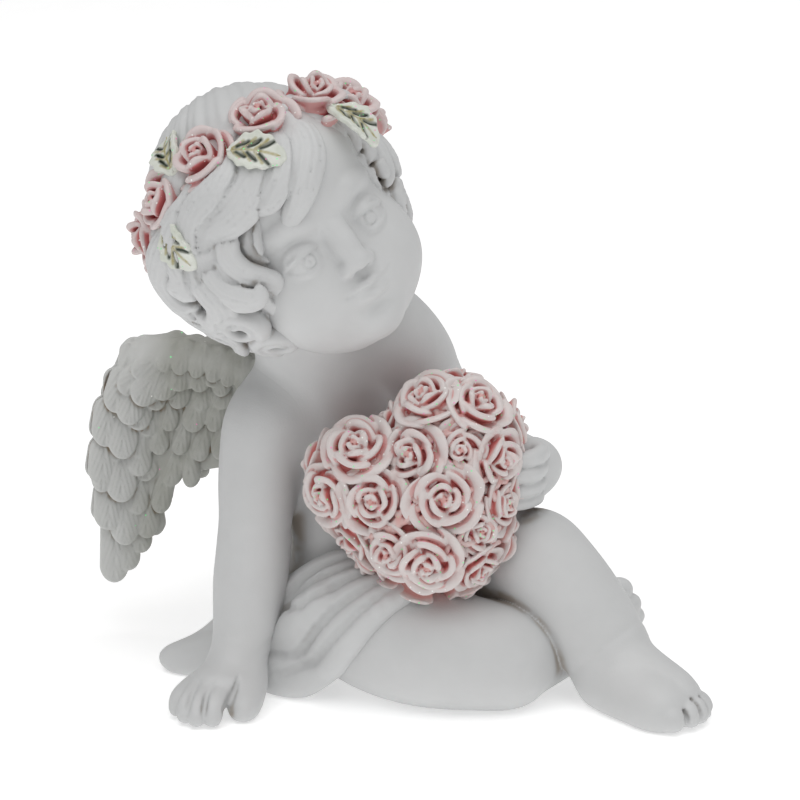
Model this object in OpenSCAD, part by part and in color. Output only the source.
// Seated resin angel with a rose crown and a rose heart.
// +Z is up, the display front faces -Y, and the figurine stands on z = 0.

/* [Figurine] */
// Height of the figurine, from the table to the top of its crown
figure_height = 112; // [80:1:200]
// Turn of the body about the vertical, towards the figure's left
body_turn = 36; // [20:1:45]

/* [Head] */
// Radius of the skull with its hair
head_r = 24; // [23:0.5:25]
// Sideways lean of the head
head_lean = -28; // [-34:1:-20]
// Turn of the head about the vertical
head_turn = 30; // [20:1:38]

/* [Crown] */
// Number of roses round the crown
crown_roses = 12; // [9:1:13]
// Diameter of a crown rose
crown_rose_d = 11.4; // [8:0.2:12]
// Number of leaves in the crown
crown_leaves = 6; // [3:1:6]

/* [Heart] */
// Diameter of a rose on the heart
heart_rose_d = 9.4; // [7:0.2:10]
// Thickness of the heart, as a share of its round section
heart_depth = 0.86; // [0.7:0.02:1]

/* [Wings] */
// Thickness of a wing blade
wing_t = 5; // [4:0.5:7]
// Diameter of the tenon that seats a wing in the back
tenon_d = 6; // [4:0.5:7]

/* [Hidden] */
BALL_FN = 18;
SEAT_FN = 24;
design_height = 112;
size_k = figure_height / design_height;
fit_gap = 0.05;

// The frame: the box's centre is over the origin
frame_shift = [1.3, -7.5, 0];

// Places, in millimetres, on a figure of the design height
body_at = [-10, 4, 0];
head_at = [-20, -6, 85];
head_lift = -10;
hair_width = 0.92;
face_at = [0, -24, -9];
lock = [[17, -13, 6, 4.2], [19.6, -8, -2, 4.2], [20, -3, -11, 3.8], [17, 1, -17, 3.6]];
lock_left = [[14.6, -12, 6, 3.8], [17, -7, -2, 3.8], [17, -2, -9, 3.4]];
heart_at = [3.5, -17.5, 40.4];
heart_angles = [-14, -18, 6];
crown_tilt = [-35, 8, 0];
crown_rise = 9;
crown_r = sqrt(head_r * head_r - crown_rise * crown_rise);
crown_turn = -5;
// The rose at the crown's front end leans out to the front
leaning_rose = 1;
rose_lean = 28;
rose_lean_axis = [0.93, 0.36, 0];
rose_lean_sink = 1.5;

// Chains of balls, each [x, y, z, radius]
shoulder_r = [-23.2, -4, 48.2, 7.8];
shoulder_l = [2.4, 12, 48.6, 7.4];
arm_r = [shoulder_r, [-25.2, -7.5, 34, 6.9], [-27, -11.5, 20, 6.3], [-28.6, -15.5, 10, 5]];
palm_r = [[-28.6, -15.5, 9, 5], [-30.6, -21, 5.4, 5], [-32.6, -24.5, 3.6, 4]];
fingertips_r = [
    [-39.2, -25.6, 1.9], [-37.4, -29.6, 1.9], [-34.2, -31.6, 1.9], [-30.6, -31.4, 1.9], [-26, -28.6, 1.9]
];
arm_l = [shoulder_l, [10.5, 11, 41.5, 6.6], [17.5, 8, 36, 6.2], [22.5, 0, 37.5, 5.2], [24.6, -5, 40, 4.8]];
hip_r = [-9, -7, 12.6, 11.6];
thigh_r = [hip_r, [-1, -15.5, 11.6, 11.3], [8, -20.5, 10.6, 10.5], [18, -22.3, 8.7, 8.7]];
shin_r = [[18, -22.3, 8.5, 8.5], [24, -10, 7.8, 7.8], [30.5, 0.5, 6, 5.6]];
foot_r = [[30.5, 0.5, 5.5, 5.5], [38, 4.5, 6.6, 4.6]];
toes_r = [[41.2, 6.6, 10.8], [42.2, 7, 8.2], [42.4, 7.2, 5.8], [42, 7.2, 3.7], [41, 7, 1.9]];
thigh_l = [[2.5, 6, 13.6, 11], [13, -2, 19, 9.8], [24.6, -11.6, 25.2, 8.3]];
shin_l = [[24.6, -11.6, 25.2, 8.3], [31, -15.2, 18, 7.4], [37.6, -19.4, 9, 6.2]];
foot_l = [[36.6, -20, 4.8, 5], [43.6, -27, 4.4, 5], [47, -30.4, 3.6, 3.8]];
toes_l = [[46.2, -35.2, 2.6], [49.4, -33.8, 2.2], [51.4, -31.8, 2], [52.6, -29.4, 1.8], [53, -27, 1.7]];
drape_root = [4, -14, 23, 2.2];
drape_folds = [
    [[-4, -14.5, 22, 3], [-14, -13, 13, 3], [-24, -9.5, 4, 3.2]],
    [[-2, -16, 20, 3], [-12, -16.5, 11, 3.4], [-20, -13.5, 3.6, 3.6]],
    [[-6, -12.5, 24.5, 3], [-16, -9.5, 18, 3.4], [-22, -3, 9, 4]],
    [[-24, -6, 5, 4], [-33, -5, 3.6, 3.6], [-41, -5.6, 2.6, 2.4]]
];
// Each leaf's turn round the crown, its height above the head's centre plane, and its spin
crown_leaf_spots = [[220, 14, 0], [204, 0, 0], [254, 2.5, 45], [298, 0, 25], [60, 14, 0], [120, 3, 0]];
// The heart's lobes and its point, each [x, z, radius]: the lobe on the figure's right is smaller
heart_lobe_r = [7.9, 3.1, 8.6];
heart_lobe_l = [6.8, 4.4, 10.2];
heart_tip = [0, -6.8, 11.6];
heart_steps = 4;
// Each rose's turn about the heart's front axis, its tilt away from it, and its size as a share
heart_spots = [
    [66, 66, 1], [36, 67, 0.98], [135, 61, 1.06], [83, 29, 1.02],
    [25, 41, 0.8], [0, 63, 0.94], [168, 73, 0.95],
    [178, 43, 1.05], [305, 21, 1.1], [300, 53, 0.74], [229, 56, 0.92], [256, 52, 1.05], [284, 74, 0.82],
    [325, 70, 0.84], [95, 80, 0.82], [50, 86, 0.86], [203, 82, 0.9], [152, 96, 0.95], [14, 94, 0.95],
    [-22, 92, 0.9], [-56, 98, 0.95], [-84, 100, 0.95], [-114, 98, 1], [-142, 98, 1], [186, 110, 1]
];
wing_root = [-6, 10, 46];
wing_sweep = 130;
wing_bow_r = 40;
wing_bow_x = 18;
wing_outline = [
    [0, 7], [8, 9], [17, 11], [25, 12], [31, 9.5], [34, 5], [35.5, -1], [36.4, -8], [36.4, -18],
    [35.4, -27], [33.6, -36], [31, -35], [28, -30], [24.6, -25.5],
    [22, -18], [18, -15.5], [10, -13.5], [1, -9]
];

CROWN_ROSES = [for (i = [1:crown_roses]) str("crown_rose_", i)];
CROWN_LEAVES = [for (i = [1:crown_leaves]) str("crown_leaf_", i)];
HEART_ROSES = [for (i = [1:len(heart_spots)]) str("heart_rose_", i)];

function mix(a, b, t) = a * (1 - t) + b * t;
function unit(v) = v / norm(v);
// The turn that takes +Z to a direction, for multmatrix
function facing(d) = let (z = unit(d), x = unit(cross([0.1, 0.2, 1], z)), y = cross(z, x))
    [[x[0], y[0], z[0], 0], [x[1], y[1], z[1], 0], [x[2], y[2], z[2], 0], [0, 0, 0, 1]];

// ---- frames ----
module in_row() { scale(size_k) translate(frame_shift) children(); }
module in_body() { translate(body_at) rotate([0, 0, body_turn]) children(); }
module in_head() { translate(head_at) rotate([head_lift, head_lean, head_turn]) children(); }
module in_heart() { translate(heart_at) rotate(heart_angles) children(); }
module in_crown() { in_head() rotate(crown_tilt) children(); }

// ---- shapes ----
module ball(p) { translate([p[0], p[1], p[2]]) sphere(r = p[3], $fn = BALL_FN); }
module bridge(a, b) { hull() { ball(a); ball(b); } }
module limb(chain) { for (i = [1:len(chain) - 1]) bridge(chain[i - 1], chain[i]); }
module above_table() { difference() { children(); translate([-200, -200, -50]) cube([400, 400, 50]); } }

// ---- body castings ----
module torso_form() {
    in_body() {
        bridge([-6.6, 0, 8.6, 11], [6.6, 0, 8.6, 11]);
        limb([[0, 0, 12, 12], [0, -0.5, 26, 11.8], [0, 0.5, 44, 10.6]]);
        bridge([-9, 0, 44.5, 8.6], [9, 0, 44.5, 8.6]);
    }
    limb([[-11, 4, 50, 8.6], [-12, 2.5, 59, 8]]);
    limb([[-12, 2.5, 59, 8], [-5, 6, 58.5, 7.4], [1.2, 11.3, 49.4, 6.8]]);
}
module torso() {
    color("whitesmoke") above_table() difference() {
        torso_form();
        for (side = [-1, 1]) wing_tenon(side, fit_gap);
    }
}
module head_form() {
    in_head() {
        ball([0, 1, 1, head_r - 3.6]);
        hull() for (side = [-1, 1]) {
            ball([side * 7.4, -8, -9.6, 11.4]);
            ball([side * 6.4, -7, 3, 12]);
        }
        bridge([0, -10.5, -14, 9], [0, -13.5, -19, 5]);
        bridge([0, -20.4, -2, 2], [0, -22.4, -5.6, 2.3]);
        for (side = [-1, 1]) bridge([side * 20, 1, -4, 2.4], [side * 19, 1, -9, 1.8]);
    }
    bridge([-16.5, -2.5, 66, 8.4], [-12.5, 2, 57, 7.6]);
}
module head() {
    color("whitesmoke") difference() { union() { head_form(); } torso_form(); }
}
module hair() {
    color("gainsboro") difference() {
        in_head() {
            difference() {
                scale([hair_width, 1, 1]) sphere(r = head_r, $fn = 36);
                translate(face_at) scale([1, 1, 1.2]) sphere(r = 19.5, $fn = 30);
            }
            mirror([1, 0, 0]) limb(lock);
            limb(lock_left);
            for (side = [-1, 1]) bridge([side * 2, -20, 13, 3], [side * 11, -18.5, 11, 3.4]);
        }
        head_form();
        torso_form();
        for (i = [0:crown_roses - 1]) at_crown_rose(i) seat(crown_rose_d);
    }
}
module hand(palm, tips, knuckle, r) {
    limb(palm);
    for (tip = tips) bridge(concat(mix(knuckle, tip, 0.35), r + 0.5), concat(tip, r));
}
module right_arm_form() {
    limb(arm_r);
    hand(palm_r, fingertips_r, [-31, -22, 4.4], 1.9);
}
module right_arm() {
    color("whitesmoke") above_table() difference() { right_arm_form(); torso_form(); }
}
module left_arm_form() {
    limb(arm_l);
    for (i = [0:3]) limb([[24.6, -6, 43.4 - 2.9 * i, 2.1], [25.2 - 0.5 * i, -12, 44.2 - 3.1 * i, 1.8],
        [23.6 - 0.6 * i, -17, 44 - 3.1 * i, 1.7]]);
}
module left_arm() {
    color("whitesmoke") difference() { left_arm_form(); torso_form(); heart_form(); }
}
module right_leg_form() {
    limb(thigh_r);
    limb(shin_r);
    limb(foot_r);
    for (toe = toes_r) bridge(concat(mix([38, 4.5, 6.6], toe, 0.5), 1.9), concat(toe, 1.5));
}
module right_leg() {
    color("whitesmoke") above_table() difference() { right_leg_form(); torso_form(); }
}
module left_leg_form() {
    limb(thigh_l);
    limb(shin_l);
    limb(foot_l);
    for (toe = toes_l) bridge(concat(mix([46, -29.4, 3.2], toe, 0.4), 2), concat(toe, 1.7));
}
module left_leg() {
    color("whitesmoke") above_table() difference() { left_leg_form(); torso_form(); right_leg_form(); }
}
module loincloth() {
    color("gainsboro") above_table() difference() {
        for (fold = drape_folds) limb(concat(fold[0][0] > -20 ? [drape_root] : [], fold));
        torso_form();
        right_leg_form();
        left_leg_form();
        right_arm_form();
        heart_form();
    }
}

// ---- wings ----
module on_wing(side) {
    in_body() mirror([side > 0 ? 1 : 0, 0, 0]) translate(wing_root) rotate([0, 0, wing_sweep]) children();
}
module wing_tenon(side, gap) {
    on_wing(side) translate([-5, 1.2, 0]) rotate([0, 90, 0])
        cylinder(d = tenon_d + 2 * gap, h = 8, $fn = 48);
}
// The outline, cut from a shell that bows backwards
module wing_blade() {
    intersection() {
        rotate([90, 0, 0]) linear_extrude(height = 2 * wing_bow_r, center = true) polygon(wing_outline);
        translate([wing_bow_x, wing_bow_r - wing_t, 0]) difference() {
            cylinder(r = wing_bow_r, h = 120, center = true, $fn = 96);
            cylinder(r = wing_bow_r - wing_t, h = 122, center = true, $fn = 96);
            translate([-60, 0, -61]) cube([120, 60, 122]);
        }
    }
}
module wing(side) {
    color("silver") {
        on_wing(side) wing_blade();
        wing_tenon(side, 0);
    }
}

// ---- roses ----
// A rose's base is on z = 0: an outer whorl of petals, an inner one, and the bud
module rose(d) {
    r = d / 2;
    outer = [for (a = [-70:20:110]) [0.76 * r + 0.24 * r * cos(a), 0.5 * r + 0.3 * r * sin(a)]];
    inner = [for (a = [-20:20:110]) [0.42 * r + 0.17 * r * cos(a), 0.84 * r + 0.16 * r * sin(a)]];
    rotate_extrude($fn = 48) polygon(concat([[0, 0], [0.6 * r, 0]], outer, inner,
        [[0.22 * r, 0.86 * r], [0.15 * r, 1.04 * r], [0, 1.06 * r]]));
}
// The room that a rose takes in what it sits on
module seat(d) { cylinder(d = d, h = d, $fn = SEAT_FN); }
module on_crown(turn, rise, out) {
    tilt = 90 - asin(rise / head_r);
    in_crown() rotate([0, 0, turn]) rotate([0, tilt, 0]) translate([0, 0, out]) children();
}
module at_crown_rose(i) {
    leans = i == leaning_rose;
    on_crown(crown_turn - i * 360 / crown_roses, crown_rise, head_r - 1.6)
        rotate(a = leans ? rose_lean : 0, v = rose_lean_axis)
        translate([0, 0, leans ? -rose_lean_sink : 0]) children();
}
module crown_rose(i) { color("pink") at_crown_rose(i) rose(crown_rose_d); }
// A pointed leaf with a midrib
module leaf(length, width) {
    bow = (length * length / width + width) / 4;
    linear_extrude(height = 1.2) intersection() {
        translate([0, bow - width / 2]) circle(r = bow, $fn = 96);
        translate([0, width / 2 - bow]) circle(r = bow, $fn = 96);
    }
    translate([0, 0, 1.2]) rotate([0, 90, 0]) cylinder(r = 0.5, h = length * 0.8, center = true, $fn = 16);
}
module crown_leaf(i) {
    spot = crown_leaf_spots[i];
    color("darkseagreen") on_crown(spot[0], spot[1], head_r + 0.2) rotate([0, 0, spot[2]]) leaf(9, 5);
}

// ---- heart ----
// A ball of the heart: [x, z, radius], from a lobe (t = 0) to the point (t = 1)
function heart_ball(side, t) =
    let (b = mix(side < 0 ? heart_lobe_r : heart_lobe_l, heart_tip, t)) [side * b[0], b[1], b[2]];
HEART_BALLS = [for (side = [-1, 1], i = [0:heart_steps]) heart_ball(side, i / heart_steps)];
// How far along a direction the ball's skin is, from the heart's centre
function reach(d, b) = let (c = [b[0], 0, b[1]], along = d * c, s = b[2] * b[2] - c * c + along * along)
    s < 0 ? 0 : along + sqrt(s);
function heart_rose_size(i) = heart_rose_d * heart_spots[i][2];
module heart_form() {
    in_heart() scale([1, heart_depth, 1]) for (side = [-1, 1], i = [1:heart_steps]) {
        a = heart_ball(side, (i - 1) / heart_steps);
        b = heart_ball(side, i / heart_steps);
        bridge([a[0], 0, a[1], a[2]], [b[0], 0, b[1], b[2]]);
    }
}
module at_heart_rose(i) {
    turn = heart_spots[i][0];
    tilt = heart_spots[i][1];
    d = [sin(tilt) * cos(turn), -cos(tilt), sin(tilt) * sin(turn)];
    reaches = [for (b = HEART_BALLS) reach(d, b)];
    b = HEART_BALLS[search(max(reaches), reaches)[0]];
    skin = d * max(reaches);
    out = skin - [b[0], 0, b[1]];
    in_heart() translate([skin[0], skin[1] * heart_depth, skin[2]])
        multmatrix(facing([out[0], out[1] / heart_depth, out[2]])) translate([0, 0, -1]) children();
}
module heart_core() {
    color("pink") difference() {
        heart_form();
        torso_form();
        left_leg_form();
        for (i = [0:len(heart_spots) - 1]) at_heart_rose(i) seat(heart_rose_size(i));
    }
}
module heart_rose(i) { color("pink") at_heart_rose(i) rose(heart_rose_size(i)); }

in_row() torso();
in_row() head();
in_row() hair();
in_row() right_arm();
in_row() left_arm();
in_row() right_leg();
in_row() left_leg();
in_row() loincloth();
in_row() wing(-1);  // right_wing
in_row() wing(1);  // left_wing
in_row() heart_core();
for (i = [0:crown_roses - 1]) in_row() crown_rose(i);
for (i = [0:crown_leaves - 1]) in_row() crown_leaf(i);
for (i = [0:len(heart_spots) - 1]) in_row() heart_rose(i);
